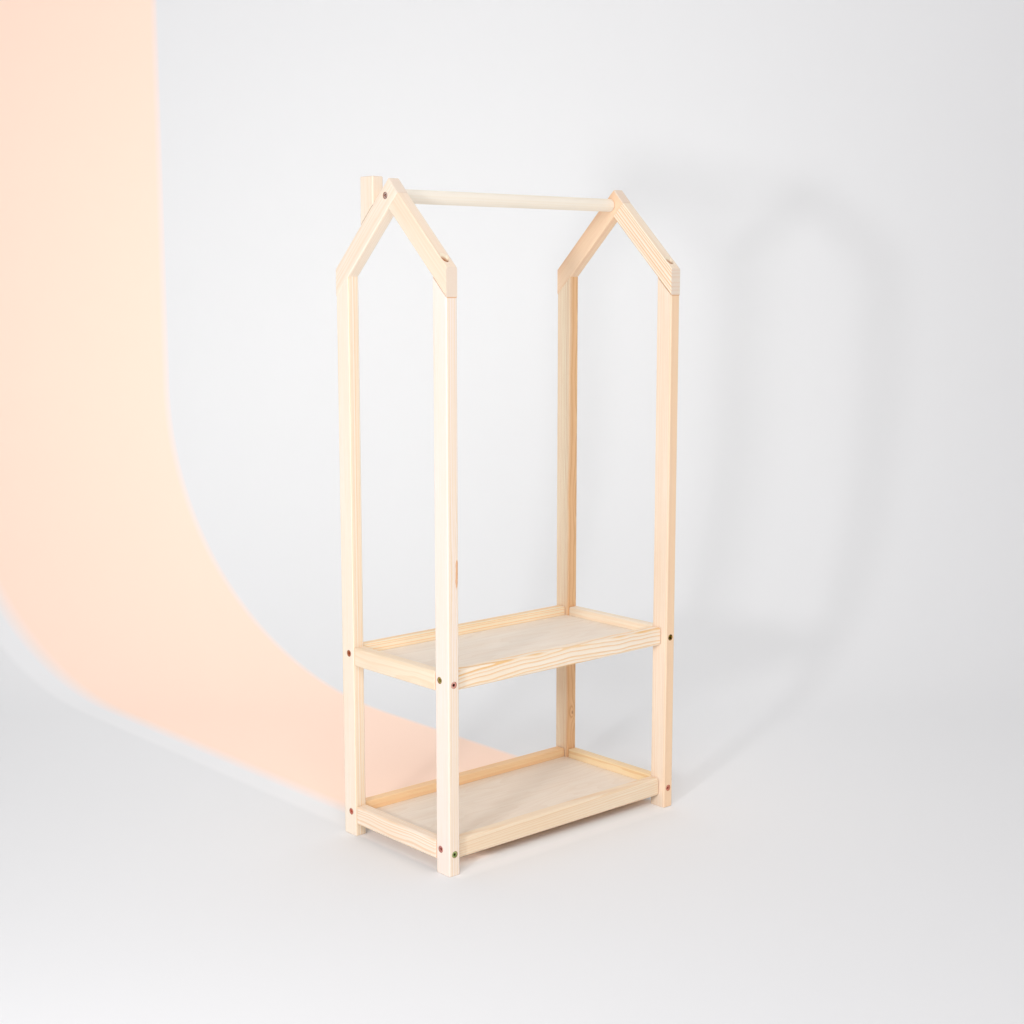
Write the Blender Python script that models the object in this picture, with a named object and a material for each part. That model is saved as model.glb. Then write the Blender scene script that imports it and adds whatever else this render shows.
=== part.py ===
"""Clothes rack in planed pine, shaped like a small house.

Two gabled end frames carry a round hanging rod and two shallow trays, and one
gable carries a chimney block. Every joint is a butt joint with a screw.

X runs along the rack with the chimney end at -X, the front is at -Y, and Z is up
from the floor. The origin is on the floor in the middle of the four feet.
"""

import math
from collections import defaultdict

import bmesh
import bpy
from mathutils import Matrix, Vector

# Sizes of the whole rack, in metres and radians
LENGTH = 0.510              # over the outer faces of the two end frames
DEPTH = 0.279               # over the outer faces of the front and back posts
EAVE_HEIGHT = 0.8964        # floor to the roof joint at the outer face of a post
ROOF_PITCH = math.radians(44)

# Planed stock that every bar is cut from
STOCK_THICK = 0.021
STOCK_WIDE = 0.033
ARRIS = 0.0025              # rounding along the edges of posts, rafters and chimney
RAIL_ROUND = 0.0035         # rounding of all edges of a tray rail
END_EASE = 0.0012           # small chamfer on feet, rod ends, chimney top and the apex
ROUND_STEPS = 3

# Trays
UPPER_TRAY = 0.2930         # floor to the underside of the upper rails
LOWER_TRAY = 0.0212
RAIL_HIGH = 0.031
FRONT_RAIL_SETBACK = 0.0117     # front rail's outer face behind the posts' front face
BACK_RAIL_SETBACK = 0.007   # back rail's inner face behind the posts' inner face
PANEL_THICK = 0.004
PANEL_DROP = 0.016          # rail's top edge down to the panel's upper face
GROOVE_DEPTH = 0.006
PANEL_EDGE_GAP = 0.0005     # room for the panel to swell in its grooves

# Hanging rod, set into the gables between the two back rafters
ROD_RADIUS = 0.011
ROD_FROM_END = 0.0242       # rafter's square end to the rod's axis, along the rafter
ROD_LIFT = 0.0024           # rod's axis above the middle of the rafter's side
ROD_SIDES = 32

# Chimney on the back slope of the left gable
CHIMNEY_SETBACK = 0.0387    # ridge line to the chimney's front face
CHIMNEY_SHORT_SIDE = 0.0425     # height of the front face, from the slope up
DOWEL_RADIUS = 0.004
DOWEL_LENGTH = 0.028
DOWEL_SIDES = 16

# Countersunk screws with a hexagon socket
HEAD_RADIUS = 0.005
HEAD_RIM = 0.0004
HEAD_SINK = 0.0005          # head below the wood's face
SHANK_RADIUS = 0.002
TIP_LENGTH = 0.005
SOCKET_WIDTH = 0.004        # across the flats
SOCKET_DEPTH = 0.0022
SCREW_SIDES = 12
SHORT_SCREW = 0.050
LONG_SCREW = 0.060
GROOVE_WALL = 0.0015        # wood between the groove and the long rails' screws
CROSSING_WALL = 0.0006      # wood left between two screws that cross in a post
BACK_SCREW_SHIFT = 0.004    # back rail's screws off its middle, towards the tray

# Deep round holes that hide the screws of the roof joints
BORE_RADIUS = 0.007
EAVE_SCREW_SETBACK = 0.014  # behind the post's outer face
EAVE_SCREW_SHIFT = 0.002    # off the middle of the stock, towards the chimney end
EAVE_GRIP = 0.020           # wood under the head, above the roof joint
ROD_SCREW_WALL = 0.002      # wood between the apex bore and the rod's screw
HOLE_SIDES = 20

FIT = 0.0003                # gap between pieces that touch
CUT_OVER = 0.010            # how far a cutter reaches past the wood

# Worked out from the sizes above
SINE = math.sin(ROOF_PITCH)
COSINE = math.cos(ROOF_PITCH)
HALF_DEPTH = DEPTH / 2
FRAME_X = (LENGTH - STOCK_THICK) / 2
POST_Y = HALF_DEPTH - STOCK_WIDE / 2
BETWEEN_FRAMES = LENGTH - 2 * STOCK_THICK - 2 * FIT
BETWEEN_POSTS = DEPTH - 2 * STOCK_WIDE - 2 * FIT
FRONT_RAIL_Y = -HALF_DEPTH + FRONT_RAIL_SETBACK + STOCK_THICK / 2
BACK_RAIL_Y = HALF_DEPTH - STOCK_WIDE + BACK_RAIL_SETBACK + STOCK_THICK / 2
RAFTER_LENGTH = (HALF_DEPTH + STOCK_WIDE / (2 * SINE)) / COSINE
APEX_JOINT = STOCK_WIDE / math.sin(2 * ROOF_PITCH)   # length of the butt joint at the apex
SCREW_CROSSING = 2 * (SHANK_RADIUS + FIT) + CROSSING_WALL
LEFT, RIGHT, FRONT, BACK = -1, 1, -1, 1

WOOD = (0.86, 0.70, 0.50)
PALE_WOOD = (0.90, 0.80, 0.64)
PLYWOOD = (0.80, 0.68, 0.56)
YELLOW_ZINC = (0.55, 0.46, 0.28)

cuts = defaultdict(list)    # each wooden piece's holes and grooves, as (shape, place)


def empty(name):
    group = bpy.data.objects.new(name, None)
    bpy.context.collection.objects.link(group)
    return group


def finish(name, colour, roughness, metallic):
    material = bpy.data.materials.new(name)
    material.use_nodes = True
    shader = material.node_tree.nodes["Principled BSDF"]
    shader.inputs["Base Color"].default_value = (*colour, 1)
    shader.inputs["Roughness"].default_value = roughness
    shader.inputs["Metallic"].default_value = metallic
    return material


def to_object(name, bm, place, parent=None, colour=WOOD, roughness=0.55, metallic=0.0):
    bmesh.ops.recalc_face_normals(bm, faces=bm.faces)
    mesh = bpy.data.meshes.new(name)
    bm.to_mesh(mesh)
    bm.free()
    mesh.shade_smooth()
    mesh.set_sharp_from_angle(angle=math.radians(35))
    piece = bpy.data.objects.new(name, mesh)
    bpy.context.collection.objects.link(piece)
    piece.matrix_world = place
    piece.parent = parent
    mesh.materials.append(finish(name, colour, roughness, metallic))


def box(size):
    bm = bmesh.new()
    bmesh.ops.create_cube(bm, size=1, matrix=Matrix.Diagonal((*size, 1)))
    return bm


def round_edges(bm, edges, radius, steps):
    bmesh.ops.bevel(bm, geom=edges, offset=radius, offset_type='OFFSET', segments=steps,
                    profile=0.5, affect='EDGES', material=-1, clamp_overlap=True)


def bar(length, ease_bottom=0, ease_top=0):
    """Planed stock standing on the origin along +Z: thin along X, wide along Y."""
    bm = box((STOCK_THICK, STOCK_WIDE, length))
    bmesh.ops.translate(bm, verts=bm.verts, vec=(0, 0, length / 2))
    long_edges = [e for e in bm.edges if abs(e.verts[0].co.z - e.verts[1].co.z) > length / 2]
    round_edges(bm, long_edges, ARRIS, ROUND_STEPS)
    for ease, height in ((ease_bottom, 0), (ease_top, length)):
        if ease:
            rim = [e for e in bm.edges if all(abs(v.co.z - height) < ease / 10 for v in e.verts)]
            round_edges(bm, rim, ease, 1)
    return bm


def saw(bm, point, waste_side):
    """Cut along a plane and throw away the side that waste_side points to."""
    cut = bmesh.ops.bisect_plane(bm, geom=bm.verts[:] + bm.edges[:] + bm.faces[:], plane_co=point,
                                 plane_no=waste_side, clear_outer=True)
    rim = [item for item in cut["geom_cut"] if isinstance(item, bmesh.types.BMEdge)]
    bmesh.ops.edgeloop_fill(bm, edges=rim)


def turned(profile, sides):
    """Spin (radius, height) pairs about Z and close both ends."""
    bm = bmesh.new()
    points = [bm.verts.new((radius, 0, height)) for radius, height in profile]
    line = [bm.edges.new(pair) for pair in zip(points, points[1:])]
    bmesh.ops.spin(bm, geom=points + line, axis=(0, 0, 1), cent=(0, 0, 0), angle=math.tau,
                   steps=sides, use_merge=True)
    bmesh.ops.remove_doubles(bm, verts=bm.verts, dist=0.00001)
    bmesh.ops.holes_fill(bm, edges=[e for e in bm.edges if e.is_boundary], sides=0)
    bmesh.ops.recalc_face_normals(bm, faces=bm.faces)
    return bm


def aim(point, direction):
    """Place that stands a turned shape's +Z along the direction, at the point."""
    return Matrix.Translation(point) @ Vector(direction).to_track_quat('Z', 'Y').to_matrix().to_4x4()


# Screws and their holes

def screw_body(length):
    """Screw hanging from the origin down -Z, with its socket open at the top."""
    cone = HEAD_RADIUS - SHANK_RADIUS
    bm = turned([(HEAD_RADIUS, 0),
                 (HEAD_RADIUS, -HEAD_RIM),
                 (SHANK_RADIUS, -HEAD_RIM - cone),
                 (SHANK_RADIUS, TIP_LENGTH - length),
                 (0, -length)], SCREW_SIDES)
    top = max(bm.faces, key=lambda face: face.calc_center_median().z)
    bmesh.ops.inset_region(bm, faces=[top], thickness=HEAD_RADIUS / 2, depth=0)
    flat = SOCKET_WIDTH / 2
    for vert in top.verts:
        turn = math.atan2(vert.co.y, vert.co.x) % (math.pi / 3)
        reach = flat / math.cos(turn - math.pi / 6)
        vert.co.xy = vert.co.xy.normalized() * reach
    walls = bmesh.ops.extrude_face_region(bm, geom=[top])
    floor = [item for item in walls["geom"] if isinstance(item, bmesh.types.BMVert)]
    bmesh.ops.translate(bm, verts=floor, vec=(0, 0, -SOCKET_DEPTH))
    bmesh.ops.delete(bm, geom=[top], context='FACES_ONLY')
    return bm


def screw_hole(length, bore_radius):
    """Cutter with the room for one screw, and for the bore above a deep head."""
    cone = HEAD_RADIUS - SHANK_RADIUS
    drop = FIT * (math.sqrt(2) - 1)
    profile = [(HEAD_RADIUS + FIT, 0),
               (HEAD_RADIUS + FIT, -HEAD_RIM - drop),
               (SHANK_RADIUS + FIT, -HEAD_RIM - cone - drop),
               (SHANK_RADIUS + FIT, -length - FIT)]
    if bore_radius:
        return turned([(bore_radius, STOCK_WIDE / COSINE), (bore_radius, 0)] + profile, HOLE_SIDES)
    return turned([(HEAD_RADIUS + FIT, CUT_OVER)] + profile[1:], HOLE_SIDES)


def drive(name, head, direction, length, pieces, parent, bore_radius=0):
    """Put a screw in, pointing along the direction, and drill the pieces it holds."""
    place = aim(head, -Vector(direction))
    to_object(name, screw_body(length), place, parent, YELLOW_ZINC, 0.35, 0.9)
    for piece in pieces:
        cuts[piece].append((screw_hole(length, bore_radius), place))


def cut_out(parent):
    """Give each wooden piece one Boolean with all of its holes and grooves."""
    for name, shapes in cuts.items():
        mesh = bpy.data.meshes.new(name + "_cuts")
        joined = bmesh.new()
        for bm, place in shapes:
            bmesh.ops.transform(bm, matrix=place, verts=bm.verts)
            bm.to_mesh(mesh)
            bm.free()
            joined.from_mesh(mesh)
        joined.to_mesh(mesh)
        joined.free()
        cutter = bpy.data.objects.new(name + "_cuts", mesh)
        bpy.context.collection.objects.link(cutter)
        cutter.parent = parent
        cutter.hide_render = True
        cutter.display_type = 'WIRE'
        boolean = bpy.data.objects[name].modifiers.new("Holes and grooves", 'BOOLEAN')
        boolean.operation = 'DIFFERENCE'
        boolean.solver = 'EXACT'
        boolean.object = cutter


# End frames

def slope_point(side, along, above, x):
    """Point on a rafter: along it from the eave joint, and above its lower face."""
    return Vector((x, side * (HALF_DEPTH - along * COSINE + above * SINE),
                   EAVE_HEIGHT + along * SINE + above * COSINE))


def slope_up(side):
    return Vector((0, side * SINE, COSINE))


def roof_height(y):
    """Height of a slope's upper face at this distance from the ridge line."""
    return EAVE_HEIGHT + STOCK_WIDE / COSINE + (HALF_DEPTH - y) * math.tan(ROOF_PITCH)


def post(name, x, side, parent):
    height = EAVE_HEIGHT + STOCK_WIDE * math.tan(ROOF_PITCH) + CUT_OVER
    bm = bar(height, ease_bottom=END_EASE)
    joint = slope_point(side, 0, -FIT, 0) - Vector((0, side * POST_Y, 0))
    saw(bm, joint, slope_up(side))
    to_object(name, bm, Matrix.Translation((x, side * POST_Y, 0)), parent)


def rafter(name, x, side, parent):
    """Bar lying on the slope, with its tail cut plumb with the post's face."""
    start = slope_point(side, -CUT_OVER, STOCK_WIDE / 2, x)
    lean = side * (math.pi / 2 - ROOF_PITCH)
    place = Matrix.Translation(start) @ Matrix.Rotation(lean, 4, 'X')
    flat = place.inverted()
    bm = bar(CUT_OVER + RAFTER_LENGTH, ease_top=END_EASE)
    saw(bm, flat @ slope_point(side, 0, 0, x), flat.to_3x3() @ Vector((0, side, 0)))
    if side == FRONT:
        under_back = slope_point(BACK, RAFTER_LENGTH, -FIT, x)
        saw(bm, flat @ under_back, flat.to_3x3() @ slope_up(BACK))
    to_object(name, bm, place, parent)


def end_frame(end, side_x):
    group = empty(end + "_frame")
    x = side_x * FRAME_X
    eave_joint = EAVE_HEIGHT + EAVE_SCREW_SETBACK * math.tan(ROOF_PITCH)
    for word, side in (("front", FRONT), ("back", BACK)):
        post(f"post_{word}_{end}", x, side, group)
        rafter(f"rafter_{word}_{end}", x, side, group)
        head = (x - EAVE_SCREW_SHIFT, side * (HALF_DEPTH - EAVE_SCREW_SETBACK), eave_joint + EAVE_GRIP)
        drive(f"screw_eave_{word}_{end}", head, (0, 0, -1), SHORT_SCREW,
              [f"post_{word}_{end}", f"rafter_{word}_{end}"], group, BORE_RADIUS)
    head_height = STOCK_WIDE / 2 + ROD_LIFT + SHANK_RADIUS + FIT + ROD_SCREW_WALL
    head = slope_point(BACK, RAFTER_LENGTH - APEX_JOINT / 2, head_height, x)
    drive(f"screw_apex_{end}", head, -slope_up(BACK), SHORT_SCREW,
          [f"rafter_back_{end}", f"rafter_front_{end}"], group, BORE_RADIUS)


# Hanging rod and chimney

def hanging_rod():
    half = BETWEEN_FRAMES / 2
    bm = turned([(ROD_RADIUS - END_EASE, -half), (ROD_RADIUS, END_EASE - half),
                 (ROD_RADIUS, half - END_EASE), (ROD_RADIUS - END_EASE, half)], ROD_SIDES)
    centre = slope_point(BACK, RAFTER_LENGTH - ROD_FROM_END, STOCK_WIDE / 2 + ROD_LIFT, 0)
    to_object("hanging_rod", bm, aim(centre, (1, 0, 0)), None, PALE_WOOD, 0.5)
    for end, side_x in (("left", LEFT), ("right", RIGHT)):
        head = centre + Vector((side_x * (LENGTH / 2 - HEAD_SINK), 0, 0))
        drive(f"screw_rod_{end}", head, (-side_x, 0, 0), SHORT_SCREW,
              [f"rafter_back_{end}", "hanging_rod"], None)


def chimney():
    """Block with its foot cut to the back slope, and the dowel that holds it."""
    x = LEFT * FRAME_X
    middle_y = CHIMNEY_SETBACK + STOCK_WIDE / 2
    top = roof_height(CHIMNEY_SETBACK) + CHIMNEY_SHORT_SIDE
    height = CHIMNEY_SHORT_SIDE + STOCK_WIDE * math.tan(ROOF_PITCH) + CUT_OVER
    place = Matrix.Translation((x, middle_y, top - height))
    bm = bar(height, ease_top=END_EASE)
    on_slope = slope_point(BACK, 0, STOCK_WIDE + FIT, x)
    saw(bm, place.inverted() @ on_slope, -slope_up(BACK))
    to_object("chimney", bm, place)
    dowel_place = aim((x, middle_y, roof_height(middle_y)), slope_up(BACK))
    half = DOWEL_LENGTH / 2
    dowel = turned([(DOWEL_RADIUS, -half), (DOWEL_RADIUS, half)], DOWEL_SIDES)
    to_object("chimney_dowel", dowel, dowel_place, None, PALE_WOOD, 0.6)
    room = DOWEL_RADIUS + FIT
    for piece in ("chimney", "rafter_back_left"):
        hole = turned([(room, -half - FIT), (room, half + FIT)], DOWEL_SIDES)
        cuts[piece].append((hole, dowel_place))


# Trays

def rail(name, centre, length, turn, inward, group):
    """Rail on edge with every edge rounded, and a groove in its inner side."""
    bm = box((STOCK_THICK, length, RAIL_HIGH))
    round_edges(bm, bm.edges[:], RAIL_ROUND, ROUND_STEPS)
    place = Matrix.Translation(centre) @ Matrix.Rotation(turn, 4, 'Z')
    to_object(name, bm, place, group)
    groove = box((GROOVE_DEPTH + CUT_OVER, length + 2 * CUT_OVER, PANEL_THICK + 2 * FIT))
    inner_face = inward * (STOCK_THICK / 2 - GROOVE_DEPTH + (GROOVE_DEPTH + CUT_OVER) / 2)
    groove_height = RAIL_HIGH / 2 - PANEL_DROP - PANEL_THICK / 2
    shift = Matrix.Translation((inner_face, 0, groove_height))
    cuts[name].append((groove, place @ shift))


def panel(name, height, group):
    """Thin board with a notch at each corner that clears the post."""
    reach_x = LENGTH / 2 - STOCK_THICK + GROOVE_DEPTH - PANEL_EDGE_GAP
    notch_x = LENGTH / 2 - STOCK_THICK - PANEL_EDGE_GAP
    groove_reach = GROOVE_DEPTH - PANEL_EDGE_GAP
    front_y = FRONT_RAIL_Y + STOCK_THICK / 2 - groove_reach
    back_y = BACK_RAIL_Y - STOCK_THICK / 2 + groove_reach
    notch_y = HALF_DEPTH - STOCK_WIDE - PANEL_EDGE_GAP
    right_side = [(notch_x, front_y), (notch_x, -notch_y), (reach_x, -notch_y),
                  (reach_x, notch_y), (notch_x, notch_y), (notch_x, back_y)]
    outline = right_side + [(-x, y) for x, y in reversed(right_side)]
    bm = bmesh.new()
    board = bm.faces.new([bm.verts.new((x, y, 0)) for x, y in outline])
    raised = bmesh.ops.extrude_face_region(bm, geom=[board])
    upper = [item for item in raised["geom"] if isinstance(item, bmesh.types.BMVert)]
    bmesh.ops.translate(bm, verts=upper, vec=(0, 0, PANEL_THICK))
    to_object(name, bm, Matrix.Translation((0, 0, height)), group, PLYWOOD, 0.6)


def tray(level, underside):
    group = empty(level + "_tray")
    middle = underside + RAIL_HIGH / 2
    panel_top = underside + RAIL_HIGH - PANEL_DROP
    long_screws = panel_top + FIT + GROOVE_WALL + SHANK_RADIUS + FIT
    short_screws = long_screws - SCREW_CROSSING
    for word, y, inward, shift in (("front", FRONT_RAIL_Y, 1, 0),
                                   ("back", BACK_RAIL_Y, -1, BACK_SCREW_SHIFT)):
        name = f"{level}_{word}_rail"
        rail(name, (0, y, middle), BETWEEN_FRAMES, math.pi / 2, inward, group)
        for end, side_x in (("left", LEFT), ("right", RIGHT)):
            head = (side_x * (LENGTH / 2 - HEAD_SINK), y + inward * shift, long_screws)
            drive(f"screw_{level}_{word}_rail_{end}", head, (-side_x, 0, 0), SHORT_SCREW,
                  [f"post_{word}_{end}", name], group)
    for end, side_x in (("left", LEFT), ("right", RIGHT)):
        name = f"{level}_{end}_rail"
        rail(name, (side_x * FRAME_X, 0, middle), BETWEEN_POSTS, 0, -side_x, group)
        for word, side in (("front", FRONT), ("back", BACK)):
            head = (side_x * FRAME_X, side * (HALF_DEPTH - HEAD_SINK), short_screws)
            drive(f"screw_{level}_{end}_rail_{word}", head, (0, -side, 0), LONG_SCREW,
                  [f"post_{word}_{end}", name], group)
    panel(f"{level}_panel", panel_top - PANEL_THICK, group)


def main():
    for old in list(bpy.data.objects):
        bpy.data.objects.remove(old)
    end_frame("left", LEFT)
    end_frame("right", RIGHT)
    hanging_rod()
    chimney()
    tray("upper", UPPER_TRAY)
    tray("lower", LOWER_TRAY)
    cut_out(empty("cutters"))


main()
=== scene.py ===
"""Children's clothes rack in planed pine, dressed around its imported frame.

The wood pieces are merged copies of the frame's solids with timber materials, the
screws are modelled again with finer heads and threads, and the rack stands on a
roll of pale studio paper. Metres, +Z up, the front of the rack is at -Y.
"""

import math

import bmesh
import bpy
from mathutils import Matrix, Quaternion, Vector


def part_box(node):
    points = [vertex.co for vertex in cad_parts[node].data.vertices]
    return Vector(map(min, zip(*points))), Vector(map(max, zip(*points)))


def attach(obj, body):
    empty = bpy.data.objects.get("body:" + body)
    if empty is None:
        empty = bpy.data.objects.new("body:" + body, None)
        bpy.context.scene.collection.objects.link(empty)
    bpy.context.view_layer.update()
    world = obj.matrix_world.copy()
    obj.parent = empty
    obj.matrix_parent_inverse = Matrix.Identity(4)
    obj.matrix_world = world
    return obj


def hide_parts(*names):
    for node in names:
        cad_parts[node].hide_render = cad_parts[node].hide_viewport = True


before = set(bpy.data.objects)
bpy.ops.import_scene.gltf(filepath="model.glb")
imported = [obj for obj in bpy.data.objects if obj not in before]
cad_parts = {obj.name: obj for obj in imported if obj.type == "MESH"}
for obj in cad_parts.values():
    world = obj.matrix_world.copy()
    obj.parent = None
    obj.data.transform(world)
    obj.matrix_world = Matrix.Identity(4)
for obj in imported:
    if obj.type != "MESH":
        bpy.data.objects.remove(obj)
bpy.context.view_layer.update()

BODY = "root"

# Camera
EYE = Vector((-1.73643, -1.94653, 0.92363))
YAW = 0.72821               # from +Y towards +X
PITCH = -0.14734
LENS = 55.08
SENSOR = 36.0
VIEW_LINE = Vector((math.sin(YAW), math.cos(YAW), 0))
ACROSS = Vector((math.cos(YAW), -math.sin(YAW), 0))

# Lamps: (place, point it aims at, size, power)
LAMPS = {
    "Key lamp": (Vector((-2.133, -1.022, 0.876)), Vector((0, 0, 0.55)), 0.23, 16.4),
    "Fill lamp": (Vector((-2.4, -2.6, 2.6)), Vector((0, 0, 0.4)), 2.4, 64.5),
    "High lamp": (Vector((0.6, -0.6, 4.0)), Vector((0, 0, 0.4)), 2.6, 15.0),
}
ROOM_LIGHT = 0.42

# Paper
PAPER_BEND_START = 3.285    # from the camera to where the paper leaves the floor
PAPER_BEND = 0.666          # radius of the bend
PAPER_BEND_STEPS = 32
PAPER_HALF_WIDTH = 3.2
PAPER_HEIGHT = 3.4
PAPER_IN_FRONT = 2.5
# Painted light on the paper: a pool of light painted into its colour, palest at this spot
PAPER_PAINTED_LIGHT_SPOT = Vector((*(EYE + VIEW_LINE * 3.95 - ACROSS * 0.28).xy, 0.67))
PAPER_PAINTED_LIGHT_STRETCH = (1, 1.4, 1)     # the painted pool of light is longer along the view
PAPER_PAINTED_LIGHT_FALLOFF = 1.9            # how fast the painted light fades away from there, in square metres

# Strips of paper under the low tray, where painted light lifts the tray's shadow: (start, span,
# [(share of the span, level), ...]). A level holds on past the last share. The front strip ends
# on 0.2 and the deep one on 1, so both run on behind the rack, over the floor and up the wall,
# where the painted warm glow shows.
LEFT_STRIP = (-0.252, 0.12, [(0.0, 0.0), (0.14, 0.36), (0.25, 1.0), (0.8, 1.0), (1.0, 0.0)])
FRONT_STRIP = (-0.160, 0.1, [(0.0, 0.0), (0.22, 0.42), (0.45, 1.0), (0.6, 1.0), (0.76, 0.4),
                             (1.0, 0.2)])
DEEP_STRIP = (-0.112, 0.024, [(0.0, 0.0), (0.5, 0.5), (1.0, 1.0)])
PAST_LEFT_STRIP = (-0.205, 0.04, [(0.0, 0.0), (1.0, 1.0)])
WITHIN_LENGTH = (0.235, 0.015, [(0.0, 1.0), (1.0, 0.0)])
WITHIN_DEPTH = (0.1, 0.02, [(0.0, 1.0), (1.0, 0.0)])

# Painted light that each strip adds to the paper's red, green and blue, as a share; the deep
# strip's is a painted warm glow
LEFT_PAINTED_LIGHT = (0.80, 0.68, 0.64)
FRONT_PAINTED_LIGHT = (0.28, 0.27, 0.26)
DEEP_PAINTED_WARM_LIGHT = (0.26, -0.08, -0.26)

# Screws
HEAD_RADIUS = 0.0052
HEAD_RIM = 0.0004
HEAD_ROUNDING = 0.0001
HEAD_FLAT_SHARE = 0.7       # of the radius, a point on the flat of the head
HEAD_SIDES = 48
HEAD_TURN = 0.7             # from one screw to the next, in radians
FILM_SHIFT = 3.1            # from one screw's film to the next
SHANK_RADIUS = 0.002
CORE_RADIUS = 0.0016
SOCKET_WIDTH = 0.004        # across the flats
SOCKET_DEPTH = 0.0022
SOCKET_POINT = 0.0006       # hollow left by the drill in the socket's floor
SOCKET_RIM = 0.0003
TIP_LENGTH = 0.006
PLAIN_SHARE = 0.38          # part of the length above the thread
THREAD_PITCH = 0.0021
THREAD_RADIUS = 0.0022
THREAD_FOOT = CORE_RADIUS - 0.0003
THREAD_SUNK = CORE_RADIUS - 0.0006      # where the ridge runs out, inside the core
THREAD_START = 0.001        # below the plain shank
THREAD_STEPS = 16           # to a turn

# Cuts and bores
ROOF_PITCH = math.radians(44)
BORE_REACH = 0.0071         # just past the wall of the bores over the eaves
PRESSED_SHADE_DEPTH = 0.002       # how far from the head's face the ring of crushed fibres and painted shade shows
JOINT_SHADE_RIM = 0.002             # painted shade at the joint where a rail's end meets a post
FOOT_JOINT_SHADE_RIM = 0.0025           # and painted shade along the foot of a rafter

# Tones by distance: (start, span, [(share of the span, level), ...])
# Painted shade on a bore's wall, deeper in
BORE_SHADE_DEPTHS = (0.0, 0.01, [(0.25, 0.0), (0.5, 0.6), (0.7, 1.0)])
# Ring of crushed fibres and painted shade in the gap round each head
PRESSED_SHADE_RING = (0.005, 0.001, [(0.35, 0.9), (0.75, 0.0)])

# Directions of the stock's length, as the turn that takes +Z there
UPRIGHT = (0, 0, 0)
ALONG_X = (0, math.pi / 2, 0)
ALONG_Y = (-math.pi / 2, 0, 0)
SLOPE_FRONT = (-(math.pi / 2 - ROOF_PITCH), 0, 0)
SLOPE_BACK = (math.pi / 2 - ROOF_PITCH, 0, 0)

# Meshes
MERGE_DISTANCE = 0.00001
FLAT_ANGLE = math.radians(0.2)
SHARP_ANGLE = math.radians(35)
SEAT_CLOSURE = 0.0004

# Ends that close up to their neighbour: (lowest point, highest point, how far they go up)
SEATS = {f"post_{side}_{end}": (0.80, 1.0, SEAT_CLOSURE)
         for side in ("front", "back") for end in ("left", "right")}
SEATS["chimney"] = (0.90, 1.06, -SEAT_CLOSURE)


def linear(red, green, blue):
    """Colour written as it looks on a screen, 0 to 255, for a shader."""
    channels = [level / 255 for level in (red, green, blue)]
    return (*(c / 12.92 if c <= 0.04045 else ((c + 0.055) / 1.055) ** 2.4 for c in channels), 1)


# Timber tones: (clear wood, deeper patches, latewood)
PALE = (linear(250, 240, 229), linear(250, 236, 220), linear(240, 200, 146))
FAINT = (linear(249, 235, 231), linear(248, 232, 222), linear(236, 204, 150))
CREAM = (linear(248, 237, 224), linear(246, 230, 213), linear(234, 194, 148))
BANDED = (linear(253, 241, 228), linear(251, 235, 218), linear(236, 184, 122))
BOLD = (linear(254, 243, 230), linear(252, 237, 217), linear(238, 186, 114))
STRIPED = (linear(252, 242, 228), linear(251, 238, 220), linear(234, 180, 118))
AMBER = (linear(255, 245, 224), linear(255, 240, 212), linear(248, 198, 138))
STRAW = (linear(249, 233, 211), linear(246, 224, 197), linear(228, 180, 124))
GOLD = (linear(250, 232, 198), linear(246, 216, 170), linear(228, 180, 118))
RUDDY = (linear(255, 246, 222), linear(253, 232, 203), linear(208, 144, 92))
PINKISH = (linear(250, 235, 218), linear(246, 225, 203), linear(232, 188, 148))
ORANGE = (linear(255, 224, 180), linear(255, 214, 166), linear(232, 164, 104))
TAN = (linear(254, 228, 200), linear(249, 215, 182), linear(220, 162, 114))
HONEY = (linear(251, 241, 225), linear(249, 232, 208), linear(232, 186, 134))
ROD = (linear(250, 242, 230), linear(249, 239, 225), linear(226, 196, 152))

# Marks on the timber, and painted shade at its joints, in its bores and round its screw heads
KNOT_BROWN = linear(172, 106, 66)
JOINT_SHADE = linear(222, 160, 104)
END_GRAIN = linear(234, 215, 199)
ROD_ENDS = linear(232, 214, 204)
BORE_RIM = linear(252, 236, 212)
# Brown of the drilled wood, with painted shade deep in a bore
BORE_BROWN_AND_SHADE = linear(184, 108, 46)
# Crushed fibres, with painted shade in the gap round a screw head
PRESSED_AND_SHADE_TONE = linear(168, 104, 66)

# Veneer of the trays' boards
VENEER_CLEAR = linear(253, 244, 232)
VENEER_DEEP = linear(250, 237, 222)
VENEER_FIGURE = linear(222, 196, 172)
VENEER_STAIN = linear(226, 207, 192)
VENEER_STREAKS = linear(212, 184, 160)
VENEER_FLECKS = linear(190, 156, 128)

# Paper and room
# Tones of the paper inside and outside its painted pool of light
PAPER_PAINTED_LIT = linear(254, 254, 255)
PAPER_PAINTED_DIM = linear(230, 229, 231)
PAPER_BOUNCE = linear(250, 250, 250)    # for all rays but the camera's
ROOM_SEEN = linear(238, 237, 239)

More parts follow.
